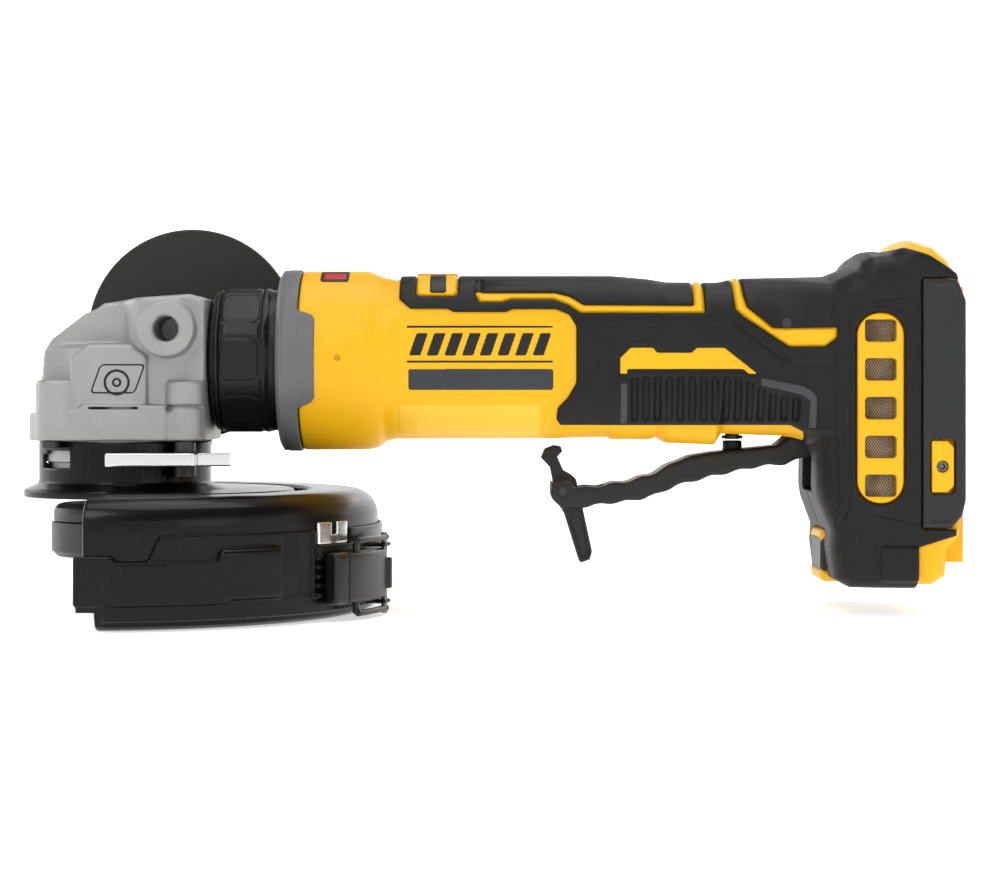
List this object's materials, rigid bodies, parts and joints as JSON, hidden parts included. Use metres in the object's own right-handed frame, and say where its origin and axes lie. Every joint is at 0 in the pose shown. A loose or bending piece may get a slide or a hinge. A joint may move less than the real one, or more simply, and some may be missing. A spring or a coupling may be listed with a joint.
{
  "type": "angle grinder",
  "caption": "Cordless paddle-switch angle grinder with side handle, turning wheel guard with clip-on cover, and an open battery foot.",
  "frame": {"origin": "on the spindle axis at the seat where a wheel lies against the backing flange", "axes": "+X along the motor to the battery foot, +Z from the wheel up to the motor, -Y the near side"},
  "size_m": [0.314, 0.2365, 0.1313],
  "materials": {
    "cast_alloy": "fine sand-cast grain, satin",
    "screw_steel": "zinc plated",
    "spindle_steel": "ground",
    "gear_steel": "case hardened, oiled",
    "bearing_steel": "polished",
    "plate_steel": "satin",
    "bright_steel": "bright nickel",
    "nose_plastic": "satin moulded",
    "ring_plastic": "fine texture",
    "handle_steel": "plated",
    "handle_plastic": "matte moulded",
    "handle_rubber": "soft touch",
    "guard_paint": "gloss black powder coat",
    "catch_black": "semi gloss",
    "core_steel": "laminated",
    "copper_wire": "enamelled",
    "fan_plastic": "moulded",
    "board_green": "solder mask",
    "lead_plastic": "insulated wire",
    "shell_yellow": "fine moulded texture, satin",
    "grip_rubber": "soft touch overmould",
    "module_alloy": "extruded",
    "switch_plastic": "moulded",
    "mesh_wire": "woven wire, dulled",
    "contact_metal": "plated contacts",
    "lever_plastic": "moulded"
  },
  "bodies": {
    "root": {"gear_case": "cast_alloy", "case_cover": "cast_alloy", "cover_screws": "screw_steel", "spindle_bearing": "bearing_steel", "spindle_bush": "bearing_steel", "bearing_ring": "plate_steel", "button_spring": "plate_steel", "nose_adapter": "nose_plastic", "front_ring": "ring_plastic", "handle_core": "handle_steel", "handle_disc": "handle_plastic", "handle_grip": "handle_rubber", "handle_cap": "handle_plastic", "lever_screw": "screw_steel", "lever_spring": "plate_steel", "stator": "core_steel", "windings": "copper_wire", "front_bearing": "bearing_steel", "rear_bearing": "bearing_steel", "sensor_board": "board_green", "motor_leads": "lead_plastic", "housing_left": "shell_yellow", "housing_right": "shell_yellow", "overmould_left": "grip_rubber", "overmould_right": "grip_rubber", "housing_screws": "screw_steel", "control_module": "module_alloy", "battery_leads": "lead_plastic", "switch_body": "switch_plastic", "status_window": "shell_yellow", "vent_frames": "shell_yellow", "vent_meshes": "mesh_wire", "foot_panels": "switch_plastic", "hook_inserts": "shell_yellow", "tag_pocket": "shell_yellow", "rail_frame": "switch_plastic", "terminal_block": "switch_plastic", "terminals": "contact_metal", "paddle_pin": "spindle_steel"},
    "spindle_turn": {"spindle": "spindle_steel", "ring_gear": "gear_steel", "backing_flange": "plate_steel", "clamp_nut": "plate_steel"},
    "motor_turn": {"rotor_shaft": "spindle_steel", "rotor": "core_steel", "fan": "fan_plastic", "pinion": "gear_steel", "pinion_nut": "screw_steel"},
    "lock_slide": {"lock_button": "nose_plastic"},
    "guard": {"guard_shell": "guard_paint", "guard_cover": "guard_paint", "catch_bracket": "bright_steel", "catch_pin": "spindle_steel"},
    "catch": {"catch_lever": "catch_black", "catch_bail": "catch_black"},
    "guard_latch": {"guard_lever": "bright_steel"},
    "paddle_arm": {"paddle": "lever_plastic", "lock_pin": "spindle_steel"},
    "lock_off": {"lock_lever": "lever_plastic"},
    "plunger": {"switch_plunger": "switch_plastic"}
  },
  "joints": [
    {"name": "spindle_spin", "type": "hinge", "parent": "root", "child": "spindle_turn", "pos_m": [0, 0, 0], "axis": [0, 0, 1], "continuous": true},
    {"name": "motor_spin", "type": "hinge", "parent": "root", "child": "motor_turn", "pos_m": [0, 0, 0.054], "axis": [1, 0, 0], "continuous": true},
    {"name": "spindle_lock", "type": "slide", "parent": "root", "child": "lock_slide", "axis": [0, 0, -1], "range_m": [0, 0.0032], "stiffness_N_per_m": 600, "springref_m": -0.003, "deforming": ["button_spring"]},
    {"name": "guard_swing", "type": "hinge", "parent": "root", "child": "guard", "pos_m": [0, 0, 0], "axis": [0, 0, 1], "range_deg": [-90, 90]},
    {"name": "catch_swing", "type": "hinge", "parent": "guard", "child": "catch", "pos_m": [0.08906, -0.02386, -0.0194], "axis": [0, 0, 1], "range_deg": [0, 100]},
    {"name": "guard_lever_press", "type": "hinge", "parent": "root", "child": "guard_latch", "pos_m": [0.0235, -0.025, 0.021], "axis": [0, 0, 1], "range_deg": [0, 12], "stiffness_Nm_per_rad": 0.4, "springref_deg": -11.46},
    {"name": "paddle_squeeze", "type": "hinge", "parent": "root", "child": "paddle_arm", "pos_m": [0.2351, 0, 0.0266], "axis": [0, 1, 0], "range_deg": [0, 7], "stiffness_Nm_per_rad": 3, "springref_deg": -5.73},
    {"name": "lock_off_turn", "type": "hinge", "parent": "paddle_arm", "child": "lock_off", "pos_m": [0.1484, 0, 0.0098], "axis": [0, 1, 0], "range_deg": [-49, 0]},
    {"name": "plunger_slide", "type": "slide", "parent": "root", "child": "plunger", "axis": [0, 0, 1], "range_m": [0, 0.0036]}
  ],
  "couplings": [
    {"joint": "motor_spin", "follows": "spindle_spin", "ratio": 3.3636},
    {"joint": "lock_off_turn", "follows": "paddle_squeeze", "ratio": -7},
    {"joint": "plunger_slide", "follows": "paddle_squeeze", "m_per_rad": 0.0289}
  ]
}
